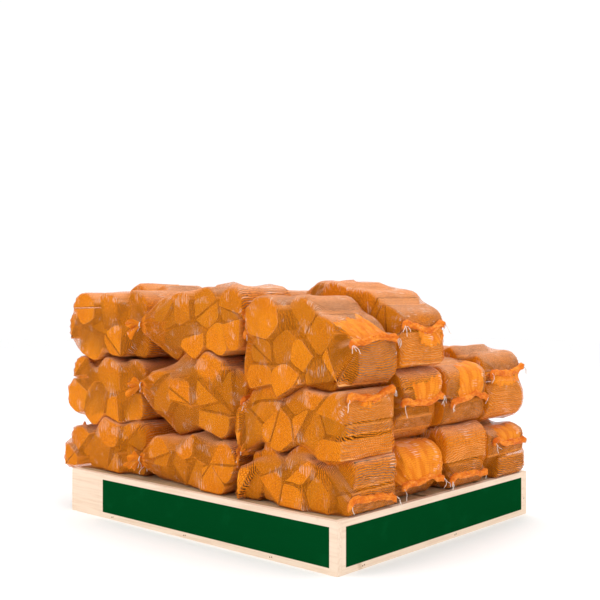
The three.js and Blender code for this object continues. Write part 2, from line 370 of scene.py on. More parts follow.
nails = bmesh.new()
for name in boards:
    low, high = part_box(name)
    if boards[name][0] == "x":
        y = low.y if name.endswith("front") else high.y
        for x in FRONT_NAILS:
            add_nail(nails, (x, y, NAIL_LOW), "y")
            add_nail(nails, (x + NAIL_PAIR, y, NAIL_LOW + NAIL_STAGGER), "y")
    else:
        x = high.x if name.endswith("right") else low.x
        for y in SIDE_NAILS:
            add_nail(nails, (x, y, NAIL_LOW), "x")
            add_nail(nails, (x, y + NAIL_PAIR, NAIL_LOW + NAIL_STAGGER), "x")
        add_nail(nails, (x, *SINGLE_NAIL), "x")
rust, rust_shader, _, place = new_material("nail_rust")
rust_specks = place.noise(EVEN, scale=900.0)
feed(rust_shader, Base_Color=rust_specks.mix(RUST_DARK, RUST_PALE), Roughness=0.6, Metallic=0.4)
nail_piece = piece_from(nails, "surround_nails", [rust])


# The logs: beech sawn to a quarter of a metre and split, so each has two flat sawn ends,
# split faces, and bark where its round side shows. The frame's solid of a bag gives each
# log's outline and how far its end stands back.
END_AREA = 1.2e-3
LARGE_LOG = 3.8e-3
LARGE_LOG_SPLIT = 0.6
OUTLINE_STEP = 0.009
LOG_GAP = 0.0045
SMALLEST_LOG = 0.92
SHARP_CORNERS = 2
RIM = ((0.0, 0.965), (0.0014, 0.988), (0.005, 1.0))
LOG_RINGS = 7
SET_BACK = (0.0, 0.0, 0.0, 0.016, 0.024, 0.045)
BARK_SHARE = 0.35
BARK_SHARE_AT_HEM = 0.75
HEM_SIDE = 0.05
SET_BACK_SPREAD = (0.7, 1.2)
BACK_SHORT = (0.001, 0.012)
SPLIT_PLACE = (0.3, 0.7)
BEYOND_EDGE = 0.006
ROUNDINGS = 4
BARK_ROUNDINGS = 7
PITH_SPREAD = 0.05
SHADE_DEPTH = 0.05
SAW_TILT = 0.05
SAWN_DEPTH = 0.003
SWAY = 0.0012
SPLIT_ROUGHNESS = 0.0009
FACES_FRONT = -0.999
NEARLY_FLAT = math.radians(0.5)
END_FACING = 0.8
MOSTLY_BARK = 0.6
SHARP_EDGE = math.radians(42)


def halved(corners, dice):
    """Splits an outline in two, from its sharpest corner to the side across from it."""
    count = len(corners)

    def opening(i):
        return (corners[i - 1] - corners[i]).angle(corners[(i + 1) % count] - corners[i])

    first = min(range(count), key=opening)
    round_it = corners[first:] + corners[:first]
    across = count // 2
    end = round_it[across].lerp(round_it[(across + 1) % count], dice.uniform(*SPLIT_PLACE))
    return round_it[:across + 1] + [end], [end] + round_it[across + 1:] + round_it[:1]


bags = {}
for name, node in frame["nodes"].items():
    if not name.startswith("log_net_"):
        continue
    solid = bmesh.new()
    solid.from_mesh(node.data)
    bmesh.ops.remove_doubles(solid, verts=solid.verts, dist=WELD_DISTANCE)
    bmesh.ops.dissolve_limit(
        solid, angle_limit=NEARLY_FLAT, verts=solid.verts, edges=solid.edges
    )
    facing = [f for f in solid.faces if f.normal.y < FACES_FRONT]
    fronts = [f for f in facing if f.calc_area() > END_AREA]
    dice = random.Random(name)
    outlines = []
    ends = []
    for face in fronts:
        outline = [Vector((v.co.x, v.co.z)) for v in face.verts]
        split = face.calc_area() > LARGE_LOG and dice.random() < LARGE_LOG_SPLIT
        for part in halved(outline, dice) if split else [outline]:
            outlines.append(part)
            ends.append(face.verts[0].co.y)
    bags[name] = {
        "outlines": outlines,
        "fronts": ends,
        "left": min(p.x for o in outlines for p in o),
        "right": max(p.x for o in outlines for p in o),
        "front": min(ends),
        "back": max(v.co.y for v in solid.verts),
        "points": [v.co.copy() for v in solid.verts],
        "dice": dice,
    }
    solid.free()


def inside(point, outline):
    """Whether a point is in an outline."""
    hit = False
    for a, b in zip(outline, outline[1:] + outline[:1]):
        if (a.y > point.y) != (b.y > point.y):
            if point.x < a.x + (point.y - a.y) * (b.x - a.x) / (b.y - a.y):
                hit = not hit
    return hit


def split_outline(corners, others, bark, scale, own):
    """A log's outline in short steps, its corners worn and its bark side rounded, with
    whether each point is on bark, whether other logs cover it, and the middle."""
    points = []
    open_to = []
    sharp = []
    pinch = {}
    for before, a, b in zip(corners[-1:] + corners[:-1], corners, corners[1:] + corners[:1]):
        pinch[a.to_tuple()] = (before - a).angle(b - a)
    keen = sorted(pinch, key=pinch.get)[:SHARP_CORNERS]
    for a, b in zip(corners, corners[1:] + corners[:1]):
        across = b - a
        steps = max(1, round(across.length / OUTLINE_STEP))
        outward = Vector((across.y, -across.x)).normalized()
        beyond = (a + b) / 2 + outward * BEYOND_EDGE
        free = not any(inside(beyond, other) for other in others)
        for k in range(steps):
            points.append(a.lerp(b, k / steps))
            open_to.append(free)
            sharp.append(k == 0 and a.to_tuple() in keen)
    count = len(points)
    barked = [bark and open_to[i] and open_to[i - 1] for i in range(count)]
    for turn in range(BARK_ROUNDINGS):
        smoother = []
        for i, point in enumerate(points):
            share = 0.5 if (barked[i] or turn < ROUNDINGS) and not sharp[i] else 0.0
            middle = (points[i - 1] + points[(i + 1) % count]) / 2
            smoother.append(point.lerp(middle, share))
        points = smoother
    middle = sum(points, Vector((0, 0))) / count
    shifted = []
    for i, point in enumerate(points):
        along = (points[(i + 1) % count] - points[i - 1]).normalized()
        outward = Vector((along.y, -along.x))
        rough = SPLIT_ROUGHNESS * noise.noise(Vector((point.x * 90, point.y * 90, own)))
        point = middle + (point - middle) * scale
        shifted.append(point - outward * (LOG_GAP / 2 - rough))
    covered = [not (open_to[i] or open_to[i - 1]) for i in range(count)]
    return shifted, barked, covered, middle


def add_log(shape, layers, corners, others, front, back, depth, near_hem, dice):
    """One log: rings of its outline from the sawn front to the sawn back. Its points carry a
    painted shade, deeper the further its end stands back and on sides that other logs cover."""
    front += depth
    bark = dice.random() < (BARK_SHARE_AT_HEM if near_hem else BARK_SHARE)
    own = dice.uniform(0, 100)
    scale = dice.uniform(SMALLEST_LOG, 1)
    outline, barked, covered, middle = split_outline(corners, others, bark, scale, own)
    pith = middle + Vector([dice.uniform(-PITH_SPREAD, PITH_SPREAD) for _ in range(2)])
    tilt = Vector([dice.uniform(-SAW_TILT, SAW_TILT) for _ in range(2)])
    length = back - front
    places = list(RIM)
    places += [(length * (k + 1) / (LOG_RINGS + 1), 1.0) for k in range(LOG_RINGS)]
    places += [(length - step, size) for step, size in reversed(RIM)]
    rings = []
    for step, size in places:
        along = step / length
        sway = SWAY * Vector((
            noise.noise(Vector((own, along * 3, 0.5))),
            noise.noise(Vector((own, along * 3, 9.5))),
        ))
        at_front = along < 0.5
        ring = []
        for point in outline:
            wave = noise.noise(Vector((point.x * 30, along * 4 + own, point.y * 30)))
            out = (point - middle) * size + (point - middle).normalized() * SWAY * wave
            slant = abs((point - middle).dot(tilt)) * (1 if at_front else -1)
            across = middle + sway + out
            ring.append(Vector((across.x, front + step + slant, across.y)))
        rings.append(ring)
    for row in extrude_rings(shape, rings):
        at_end = row[0].co.y < front + SAWN_DEPTH or row[0].co.y > back - SAWN_DEPTH
        for vert, on_bark, between in zip(row, barked, covered):
            vert[layers["bark"]] = float(on_bark)
            # Painted shade: the further an end stands back the darker it is, and sides that other
            # logs cover are dark.
            vert[layers["shade"]] = depth / SHADE_DEPTH if at_end else float(between)
            vert[layers["pith"]] = Vector((vert.co.x - pith.x, vert.co.z - pith.y, own))


# The sawn end and split face colours are painted with the orange light that comes through the
# net, over the beech's own paler colour.
SAWN_PALE = (1.0, 0.415, 0.02, 1)
SAWN_DARK = (0.72, 0.225, 0.01, 1)
SPLIT_PALE = (0.96, 0.46, 0.15, 1)
SPLIT_DARK = (0.58, 0.24, 0.07, 1)
BARK_PALE = (0.40, 0.23, 0.14, 1)
BARK_DARK = (0.12, 0.07, 0.045, 1)
# Painted shade, for set-back ends and for sides between other logs.
PAINTED_GAP_SHADE = (0.05, 0.026, 0.014, 1)
RING_RATE = 1500


def beech(name, pale, dark, kind):
    """Beech with the orange light through its net painted into its colour: its sawn end, its
    split face or its bark.
    """
    material, shader, start, place = new_material(name, specular=0.1)
    across, up, own = start.attribute("pith", out="Vector").axes()
    tone = place.noise(EVEN, scale=14.0, detail=3.0)
    if kind == "end":
        far = (across * across + up * up).root()
        ring = (far * RING_RATE + tone * 7).sine()
        saw = place.noise((1, 1, 0.1), scale=260.0, detail=2.0)
        mark = (ring * 0.22 + saw * 0.5 + tone * 0.6).over(0.25, 0.95)
        relief = saw
    elif kind == "split":
        fibres = place.noise((1, 0.045, 1), scale=210.0, detail=3.0)
        mark = (fibres * 0.6 + tone * 0.4).over(0.36, 0.66)
        relief = fibres
    else:
        plates = place.noise((1, 0.5, 1), scale=60.0, detail=4.0)
        specks = place.noise((1, 0.35, 1), scale=330.0, detail=2.0)
        mark = (plates * 0.6 + specks * 0.3 + tone * 0.1).over(0.36, 0.64)
        relief = plates * 0.6 + specks * 0.4
    drift = (own * 7.0).sine() * 0.22
    colour = (mark + drift).over(0.0, 1.0).mix(pale, dark)
    # Painted shade: the colour goes dark where an end stands back and where a side faces other
    # logs.
    shade = start.attribute("shade")
    feed(shader, Base_Color=(shade * 0.85).mix(colour, PAINTED_GAP_SHADE))
    feed(shader, Roughness=0.7 + relief * 0.2)
    feed(shader, Normal=bump(start, relief, 0.0012 if kind != "end" else 0.0005))
    return material


log_materials = [
    beech("beech_sawn_end", SAWN_PALE, SAWN_DARK, "end"),
    beech("beech_split_face", SPLIT_PALE, SPLIT_DARK, "split"),
    beech("beech_bark", BARK_PALE, BARK_DARK, "bark"),
]
for name, bag in bags.items():
    dice = bag["dice"]
    shape = bmesh.new()
    layers = {
        "bark": shape.verts.layers.float.new("bark"),
        "shade": shape.verts.layers.float.new("shade"),
        "pith": shape.verts.layers.float_vector.new("pith"),
    }
    for outline, front in zip(bag["outlines"], bag["fronts"]):
        others = [o for o in bag["outlines"] if o is not outline]
        deep = dice.choice(SET_BACK) * dice.uniform(*SET_BACK_SPREAD)
        near_hem = max(p.x for p in outline) > bag["right"] - HEM_SIDE
        back = bag["back"] - dice.uniform(*BACK_SHORT)
        add_log(shape, layers, outline, others, front, back, deep, near_hem, dice)
    shape.normal_update()
    for face in shape.faces:
        if abs(face.normal.y) > END_FACING:
            face.material_index = 0
        else:
            barked = sum(v[layers["bark"]] for v in face.verts) / len(face.verts)
            face.material_index = 2 if barked > MOSTLY_BARK else 1
    bmesh.ops.recalc_face_normals(shape, faces=shape.faces)
    logs = piece_from(shape, name.replace("log_net", "logs"), log_materials)
    logs.data.set_sharp_from_angle(angle=SHARP_EDGE)
    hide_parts(name)
    bag["logs"] = logs


# The net of each bag: a knitted tube of orange tape yarn, pulled over the logs, gathered to
# a tied neck at the left and sewn flat at the right. It is stretched here as a skin on rays
# from a line through the bag's middle, held off the logs and out of the next bags.
BAG_HALF = (0.125, 0.1)
AROUND = 140
TUBE_STEP = 0.0064
LEFT_CAP = 0.085
RIGHT_CAP = 0.062
CAP_RINGS = 11
LINE_REACH = 5

# Where the net may lie, between its own logs and the next bags.
NET_LIFT = 0.0013
PRESSED_LIFT = 0.6
CORE_RADIUS = 0.03
NOTHING_NEAR = 9.0
RAY_START = 0.6
CLEAR_OF_LOG = 0.0004
NEXT_BAG_REACH = 0.2
ROOM_SHARE = 0.5
LEAST_ROOM = 0.0006
STEEP_DROP = 0.0075
EDGE_GIVE = 0.0025

# How it is stretched.
STRETCHING = 220
HOOP_PULL = 0.28
HOOP_PULL_AT_ENDS = 0.12
SLACK_DEPTH = 0.004
CREASE_DEPTH = 0.0016
DEEPEST_CREASE = 0.0008

# The neck, its pleats, and the tuft past its tie.
NECK_CROWD = 0.03
NECK_INSET = 0.05
TIP_CLEAR = 0.01
LOOK_BACK = 0.3
TIE_RADIUS = 0.0075
PLEATS = 17
PLEAT_REACH = 0.15
PLEAT_HEIGHT = 0.012
TUFT_RINGS = 8
TUFT_LENGTH = 0.03
TUFT_PAST_TIP = 0.004
TUFT_FLARE = 0.024
TUFT_FRILL = 0.9
TUFT_DROOP = 0.012

# The line of the hem.
HEM_INSET = 0.034
HEM_MARGIN = 0.006
HEM_RIDGE = 0.012
HEM_END = 0.022
HEM_EVENING = 0.02
HEM_OPENING = 0.0012
HEM_TUCK = 0.003

# Where the net lies double: round the neck, and in a flap turned up (1) or down (-1).
NECK_DOUBLED = 0.052
NECK_SPIKES = 0.16
FLAP_WAYS = (1, 1, 1, -1)
FLAP_REACH = {1: (0.05, 0.15), -1: (0.03, 0.06)}
FLAP_INWARD = {1: (0.04, 0.15), -1: (0.03, 0.04)}
FLAP_PARTS = ((-0.1, 0.6), (0.3, 1.1), (-0.1, 1.1), (-0.1, 1.1), (0.15, 0.85), (2, 2))
FLAP_SLANT = 0.02
FLAP_SKEW = 2
FLAP_SOFT = 0.03
FLAP_SIDE_SOFT = 0.12
FLAP_BELOW_HEM = 0.006
FLAP_START_SOFT = 0.01
FLAP_WAVE = 0.009
FOLD_LIFT = 0.0022
FOLD_EVERY = 0.011
FOLD_DEPTH = 0.35


def angles_round(count):
    """Angles whose rays meet a bag's rectangular section at even steps, from +Y over +Z."""
    wide, tall = BAG_HALF
    corners = [(wide, 0), (wide, tall), (-wide, tall), (-wide, -tall), (wide, -tall), (wide, 0)]
    sides = [math.dist(a, b) for a, b in zip(corners, corners[1:])]
    stations = np.concatenate([[0], np.cumsum(sides)])
    steps = np.arange(count) * stations[-1] / count
    across = np.interp(steps, stations, [c[0] for c in corners])
    up = np.interp(steps, stations, [c[1] for c in corners])
    return np.arctan2(up, across) % math.tau


ANGLES = angles_round(AROUND)
RADIAL = np.stack([np.zeros(AROUND), np.cos(ANGLES), np.sin(ANGLES)], axis=1)

all_logs = bmesh.new()
for bag in bags.values():
    all_logs.from_mesh(bag["logs"].data)
everything = BVHTree.FromBMesh(all_logs)
all_logs.free()


def core_line(bag, places):
    """The height of the middle of the logs at places along the bag."""
    heights = []
    for x in places:
        crossed = []
        for outline in bag["outlines"]:
            for a, b in zip(outline, outline[1:] + outline[:1]):
                if (a.x > x) != (b.x > x):
                    crossed.append(a.y + (x - a.x) * (b.y - a.y) / (b.x - a.x))
        heights.append((min(crossed) + max(crossed)) / 2 if crossed else heights[-1])
    padded = np.pad(heights, LINE_REACH, mode="edge")
    window = 2 * LINE_REACH + 1
    return np.convolve(padded, np.ones(window) / window, "valid")


def hem_line(bag, share):
    """A point of the sewn hem, at a share of its way from the front to the back."""
    middle = (bag["left"] + bag["right"]) / 2
    near = bag["front"] + HEM_INSET - HEM_MARGIN
    far = bag["back"] - HEM_INSET + HEM_MARGIN
    found = [p for p in bag["points"] if near < p.y < far and p.x > middle]
    reach = max(p.x for p in found)
    found = sorted((p.y, p.z) for p in found if p.x > reach - HEM_RIDGE)
    y = bag["front"] + HEM_END + share * (bag["back"] - bag["front"] - 2 * HEM_END)
    nearby = np.interp(np.linspace(y - HEM_EVENING, y + HEM_EVENING, 9), *zip(*found))
    return Vector((reach, y, float(nearby.mean())))


def neck_of(bag, tree):
    """The neck's tie, just clear of the logs, and its tip at the bag's furthest left."""
    tip = min(bag["points"], key=lambda p: p.x)
    crowd = [p for p in bag["points"] if (p - tip).length < NECK_CROWD]
    tip = sum(crowd, Vector()) / len(crowd)
    inner = Vector((bag["left"] + NECK_INSET, max(tip.y, bag["front"] + NECK_INSET), tip.z))
    way = (tip - inner).normalized()
    hit = tree.ray_cast(tip + way * TIP_CLEAR, -way, LOOK_BACK)
    clear = hit[0] if hit[0] else inner
    tuft = min(TUFT_LENGTH, (tip - clear).length / 2)
    return tip - way * tuft, tip, way


def turn_between(first, second, share):
    """Unit directions between two fields of unit directions, along the great circle."""
    cosine = np.clip((first * second).sum(-1, keepdims=True), -1, 1)
    angle = np.arccos(cosine)
    sine = np.maximum(np.sin(angle), 1e-6)
    return (np.sin((1 - share) * angle) * first + np.sin(share * angle) * second) / sine


def unit(field):
    return field / np.linalg.norm(field, axis=-1, keepdims=True)


def net_rays(bag, tree):
    """Each ring's origin and directions from the tie to the hem, the tie's and the hem's
    own rings, and the neck's way."""
    places = np.arange(bag["left"] + LEFT_CAP, bag["right"] - RIGHT_CAP, TUBE_STEP)
    heights = core_line(bag, places)
    centre = (bag["front"] + bag["back"]) / 2
    line = np.stack([places, np.full(len(places), centre), heights], axis=1)
    tie, tip, way = neck_of(bag, tree)
    bag["tie"] = tie
    bag["tip"] = tip
    side = np.array(way.cross(Vector((0, 0, 1))).normalized())
    lift = np.cross(side, np.array(way))
    # The tie's ring is laid out so that its points follow the tube's round the neck.
    tie_ring = np.array(tie) + TIE_RADIUS * (
        np.cos(ANGLES)[:, None] * -side + np.sin(ANGLES)[:, None] * lift
    )
    hem_ring = []
    for j in range(AROUND):
        angle = ANGLES[j]
        share = abs(1 - angle / math.pi)
        point = hem_line(bag, share)
        point.z += HEM_OPENING * math.sin(angle)
        hem_ring.append(point - Vector((HEM_TUCK, 0, 0)))
    hem_ring = np.array(hem_ring)
    origins = []
    ways = []
    to_tie = unit(tie_ring - line[0])
    to_hem = unit(hem_ring - line[-1])
    for k in range(CAP_RINGS, 0, -1):
        origins.append(np.broadcast_to(line[0], (AROUND, 3)))
        ways.append(turn_between(RADIAL, to_tie, (k / (CAP_RINGS + 1)) ** 0.9))
    for point in line:
        origins.append(np.broadcast_to(point, (AROUND, 3)))
        ways.append(RADIAL)
    for k in range(1, CAP_RINGS + 1):
        origins.append(np.broadcast_to(line[-1], (AROUND, 3)))
        ways.append(turn_between(RADIAL, to_hem, k / (CAP_RINGS + 1)))
    return np.array(origins), unit(np.array(ways)), tie_ring, hem_ring, way


def reach_of_logs(tree, origins, ways):
    """How far the bag's logs reach on each ray, and how far the net may go out there."""
    low = np.full(origins.shape[:2], CORE_RADIUS)
    high = np.full(origins.shape[:2], NOTHING_NEAR)
    # Rays between two rings and between two neighbours in a ring count for both.
    later = np.minimum(np.arange(len(ways)) + 1, len(ways) - 1)
    for rings in (0, 1):
        for turn in (0, -1):
            starts = (origins + origins[later]) / 2 if rings else origins
            aims = ways + ways[later] if rings else ways
            aims = unit(aims + np.roll(aims, turn, axis=1))
            found = np.zeros(low.shape)
            for i, j in np.ndindex(low.shape):
                way = Vector(aims[i, j])
                hit = tree.ray_cast(Vector(starts[i, j]) + way * RAY_START, -way, RAY_START)
                if hit[0]:
                    found[i, j] = RAY_START - hit[3]
            if turn:
                found = np.maximum(found, np.roll(found, 1, axis=1))
            low = np.maximum(low, found)
            if rings:
                low[1:] = np.maximum(low[1:], found[:-1])
    for i, j in np.ndindex(low.shape):
        way = Vector(ways[i, j])
        start = Vector(origins[i, j]) + way * (low[i, j] + CLEAR_OF_LOG)
        ahead = everything.ray_cast(start, way, NEXT_BAG_REACH)
        if ahead[0]:
            high[i, j] = low[i, j] + max(ahead[3] * ROOM_SHARE, LEAST_ROOM)
    # Beside a steep drop the net stays out for one step, so no log's edge comes through it.
    wide = low.copy()
    for turn in (1, -1):
        for axis in (0, 1):
            beside = np.roll(wide, turn, axis=axis)
            wide = np.where(beside - wide > STEEP_DROP, beside - EDGE_GIVE, wide)
    tube = slice(CAP_RINGS + 1, -CAP_RINGS - 1)
    low[tube] = np.maximum(low, np.minimum(wide, high - NET_LIFT))[tube]
    return low + NET_LIFT, np.maximum(high, low + NET_LIFT * PRESSED_LIFT)


def stretch_net(bag):
    """The net's rings from the tuft's edge to the hem."""
    own = bmesh.new()
    own.from_mesh(bag["logs"].data)
    tree = BVHTree.FromBMesh(own)
    own.free()
    origins, ways, tie_ring, hem_ring, way = net_rays(bag, tree)
    low, high = reach_of_logs(tree, origins, ways)
    reach = low.copy()
    for shift in range(1, AROUND // 8):
        for turn in (shift, -shift):
            drop = np.cos(ANGLES - np.roll(ANGLES, turn))
            reach = np.maximum(reach, np.roll(low, turn, axis=1) * drop)
    reach = np.minimum(reach, high)
    # The gathered ends hold their width in pleats, so little pulls them in round the tube.
    pull = np.full((len(reach), 1, 1), HOOP_PULL)
    pull[:CAP_RINGS] = HOOP_PULL_AT_ENDS
    pull[-CAP_RINGS:] = HOOP_PULL_AT_ENDS
    for _ in range(STRETCHING):
        points = origins + ways * reach[..., None]
        before = np.concatenate([tie_ring[None], points[:-1]])
        after = np.concatenate([points[1:], hem_ring[None]])
        beside = np.roll(points, 1, axis=1) + np.roll(points, -1, axis=1)
        middle = (before + after) / 2 * (1 - pull) + beside / 2 * pull
        reach = ((middle - origins) * ways).sum(-1)
        reach = np.minimum(np.maximum(reach, low), np.maximum(high, low))
    points = origins + ways * reach[..., None]
    slack = np.clip((reach - low) / SLACK_DEPTH, 0, 1)
    return points, slack, ways, tie_ring, hem_ring, way


def gather(bag, points, slack, ways, tie_ring, hem_ring, way):
    """Adds the neck's pleats, the slack net's creases and the tuft past the tie."""
    own = bag["dice"].uniform(0, 50)
    tie = tie_ring.mean(0)
    far = np.linalg.norm(points - tie, axis=-1)
    close = np.clip(1 - far / PLEAT_REACH, 0, 1) ** 1.4
    wobble = np.array([
        [noise.noise(Vector((j * 0.16, i * 0.07, own))) for j in range(AROUND)]
        for i in range(points.shape[0])
    ])
    ridge = 1 - np.abs(np.sin(ANGLES[None] * PLEATS / 2 + wobble * 2.2))
    height = PLEAT_HEIGHT * close * ridge * (0.6 + wobble)
    crease = CREASE_DEPTH * slack * wobble
    points = points + ways * np.maximum(height + crease, -DEEPEST_CREASE)[..., None]
    tuft = []
    turn = np.array(way)
    reach = (bag["tip"] - bag["tie"]).length + TUFT_PAST_TIP
    for k in range(TUFT_RINGS, 0, -1):
        along = k / TUFT_RINGS
        lobes = 0.6 + 0.5 * np.sin(ANGLES * 3 + own)[:, None]
        flare = 1 + along * TUFT_FLARE / TIE_RADIUS * lobes
        frill = TUFT_FRILL * along * np.sin(ANGLES * 9 + own * 3 + along * 3)[:, None]
        length = reach * along * (1 + 0.3 * np.sin(ANGLES * 5 + own)[:, None])
        ring = tie + (tie_ring - tie) * (flare + frill) + turn * length
        ring[:, 2] -= TUFT_DROOP * along ** 2
        tuft.append(ring)
    return np.concatenate([np.array(tuft), tie_ring[None], points, hem_ring[None]])


def doubled_net(bag, rings):
    """How far each point of the net is in a fold where it lies double, and how far it
    lifts there: round the neck, and in a flap turned up or down from the hem."""
    dice = bag["dice"]
    tie = np.array(bag["tie"])
    spikes = NECK_SPIKES * np.sin(ANGLES * PLEATS) * np.sin(ANGLES * 5 + rings[0, 0, 1] * 90)
    near_tie = 1 + spikes - np.linalg.norm(rings - tie, axis=-1) / NECK_DOUBLED
    hem = np.array([hem_line(bag, k / 8) for k in range(9)])
    height = np.interp(rings[..., 1], hem[:, 1], hem[:, 2])
    upward = dice.choice(FLAP_WAYS)
    rise = (rings[..., 2] - height) * upward
    ahead = (rings[..., 1] - bag["front"]) / (bag["back"] - bag["front"])
    reach = dice.uniform(*FLAP_REACH[upward])
    reach = reach + dice.uniform(-FLAP_SLANT, FLAP_SLANT) * ahead
    part = dice.choice(FLAP_PARTS)
    skew = dice.uniform(-FLAP_SKEW, FLAP_SKEW) * rise
    sides = np.minimum(ahead + skew - part[0], part[1] - ahead - skew) / FLAP_SIDE_SOFT
    start = (rise + FLAP_BELOW_HEM) / FLAP_START_SOFT
    flap = np.minimum(sides, np.minimum(start, (reach - rise) / FLAP_SOFT))
    wave = np.sin(rings[..., 1] * 41 + rings[0, 0, 0] * 90)
    wave = wave + np.sin(rings[..., 1] * 97 + rise * 60)
    edge = dice.uniform(*FLAP_INWARD[upward]) + FLAP_WAVE * wave
    flap = np.minimum(flap, (rings[..., 0] - hem[:, 0].mean() + edge) / FLAP_SOFT)
    share = np.clip(np.maximum(near_tie, flap), 0, 1)
    share[:TUFT_RINGS + 2] = 2
    drift = 3 * np.sin(ahead * 9 + rings[0, 0, 0] * 200)
    folds = np.sin(rise * (math.tau / FOLD_EVERY) + drift)
    lift = np.clip(flap, 0, 1) * FOLD_LIFT * (1 + FOLD_DEPTH * folds)
    return share, lift


def turned_up(rings):
    """How far each point of the net faces up: 0 on the sides, 1 on the top."""
    across = np.roll(rings, -1, axis=1) - np.roll(rings, 1, axis=1)
    facing = np.cross(across, np.gradient(rings, axis=0))
    upward = facing[..., 2] / np.linalg.norm(facing, axis=-1).clip(1e-9)
    return np.clip((upward - 0.3) / 0.55, 0, 1)


def net_piece(name, rings, fields, material):
    """The net's mesh: a grid rolled up into the rings, with its yarn's coordinates in
    metres, across the tube in U and along it in V. Its points carry the fields."""
    count = rings.shape[0]
    shape = bmesh.new()
    bmesh.ops.create_grid(
        shape, x_segments=AROUND, y_segments=count - 1, size=1, calc_uvs=True
    )
    shape.verts.ensure_lookup_table()
    flat = np.concatenate([rings, rings[:, :1]], axis=1).reshape(-1, 3)
    for vert, place in zip(shape.verts, flat):
        vert.co = place
    steps = np.linalg.norm(np.diff(rings, axis=0), axis=-1).mean(1)
    along = np.concatenate([[0], np.cumsum(steps)])
    across = np.linalg.norm(np.diff(rings, axis=1), axis=-1).sum(1).max()
    uv = shape.loops.layers.uv.verify()
    for key, field in fields.items():
        layer = shape.verts.layers.float.new(key)
        flat = np.concatenate([field, field[:, :1]], axis=1).ravel()
        for vert, share in zip(shape.verts, flat):
            vert[layer] = share
    for face in shape.faces:
        for loop in face.loops:
            row, column = divmod(loop.vert.index, AROUND + 1)
            loop[uv].uv = (across * column / AROUND, along[row])
    bmesh.ops.remove_doubles(shape, verts=shape.verts, dist=2 * WELD_DISTANCE)
    bmesh.ops.recalc_face_normals(shape, faces=shape.faces)
    return piece_from(shape, name.replace("log_net", "net"), [material])


YARN_ORANGE = (0.88, 0.262, 0.008, 1)
YARN_DEEP = (0.62, 0.150, 0.006, 1)
# A painted highlight: the pale glint of light on the plastic tape.
PAINTED_YARN_HIGHLIGHT = (0.97, 0.68, 0.52, 1)
YARN_DOUBLED = (0.97, 0.33, 0.022, 1)
YARN_DOUBLED_DEEP = (0.80, 0.185, 0.008, 1)
WEFT_EVERY = 0.0046
WARP_EVERY = 0.0042


def net_material(name):
    """Knitted tape yarn: wavy weft lines round the tube, thin warp lines along it, and
    open holes between them, which close where the net is doubled. Its pale streaks and its
    paler upward faces are painted highlights."""
    material, shader, start, _ = new_material(name, specular=0.05, sheen=0.05)
    yarn = start.node("ShaderNodeTexCoord", out="UV")
    u, v, _ = yarn.axes()
    sway = yarn.noise(EVEN, scale=34.0, detail=2.0)
    fine = yarn.noise(EVEN, scale=160.0, detail=2.0)
    weft = ((v + sway * 0.010 + fine * 0.0018) * (math.tau / WEFT_EVERY)).sine()
    warp = ((u + sway * 0.006) * (math.tau / WARP_EVERY)).sine()
    packed = yarn.noise(EVEN, scale=11.0, detail=2.0).over(0.46, 0.66)
    pulled = start.attribute("pulled")
    packed = packed + pulled
    tapes = (weft + packed * 0.35 + pulled * 0.35).over(-0.35, 0.5)
    ties = (warp + packed * 0.3).over(0.5, 1.0)
    cover = (tapes * 0.85).larger(ties * 0.6)
    doubled = start.attribute("doubled")
    torn = yarn.noise(EVEN, scale=62.0, detail=3.0)
    doubled = (doubled + (torn - 0.5) * 1.3).over(0.36, 0.6)
    # Painted highlights: pale streaks in patches, more of them where the net is tight over the
    # upper logs.
    highlight_streak = yarn.noise((0.04, 1, 1), scale=420.0, detail=2.0).over(0.5, 0.64)
    highlight_patch = (yarn.noise(EVEN, scale=15.0, detail=2.0) + pulled * 0.06).over(0.55, 0.66)
    colour = fine.over(0.35, 0.7).mix(YARN_ORANGE, YARN_DEEP)
    # Painted sheen: the net is paler the more it faces up.
    colour = (start.attribute("painted_top_sheen") * 0.26).mix(colour, PAINTED_YARN_HIGHLIGHT)
    clouds = yarn.noise((1, 0.5, 1), scale=46.0, detail=3.0)
    folded = (clouds * 0.7 + fine * 0.3).over(0.36, 0.62).mix(YARN_DOUBLED_DEEP, YARN_DOUBLED)
    folded = ((1 - weft.over(-0.9, -0.1)) * 0.45).mix(folded, YARN_DEEP)
    colour = (doubled * 0.92).mix(colour, folded)
    colour = (highlight_streak * highlight_patch * 0.9).mix(colour, PAINTED_YARN_HIGHLIGHT)
    feed(shader, Base_Color=colour, Alpha=cover.larger(doubled * 0.96))
    feed(shader, Roughness=0.45 + fine * 0.25)
    feed(shader, Normal=bump(start, weft * 0.5 + warp * 0.3, 0.0006))
    return material


net_yarn = net_material("orange_net")
for name, bag in bags.items():
    points, slack, ways, tie_ring, hem_ring, bag["way"] = stretch_net(bag)
    rings = gather(bag, points, slack, ways, tie_ring, hem_ring, bag["way"])
    doubled, lift = doubled_net(bag, rings)
    body = slice(TUFT_RINGS + 1, -1)
    rings[body] += ways * lift[body][..., None]
    # The net's tapes close up where it is tight over the upper logs, and there it also gets more
    # painted highlight patches.
    pulled = np.zeros(doubled.shape)
    pulled[body] = np.clip(1.3 - slack * 2, 0, 1) * np.clip((ways[..., 2] + 0.15) / 0.7, 0, 1)
    # The upward share feeds a painted sheen on the net's upper faces.
    fields = {"doubled": doubled, "pulled": pulled, "painted_top_sheen": turned_up(rings)}
    net = net_piece(name, rings, fields, net_yarn)
    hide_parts(name)


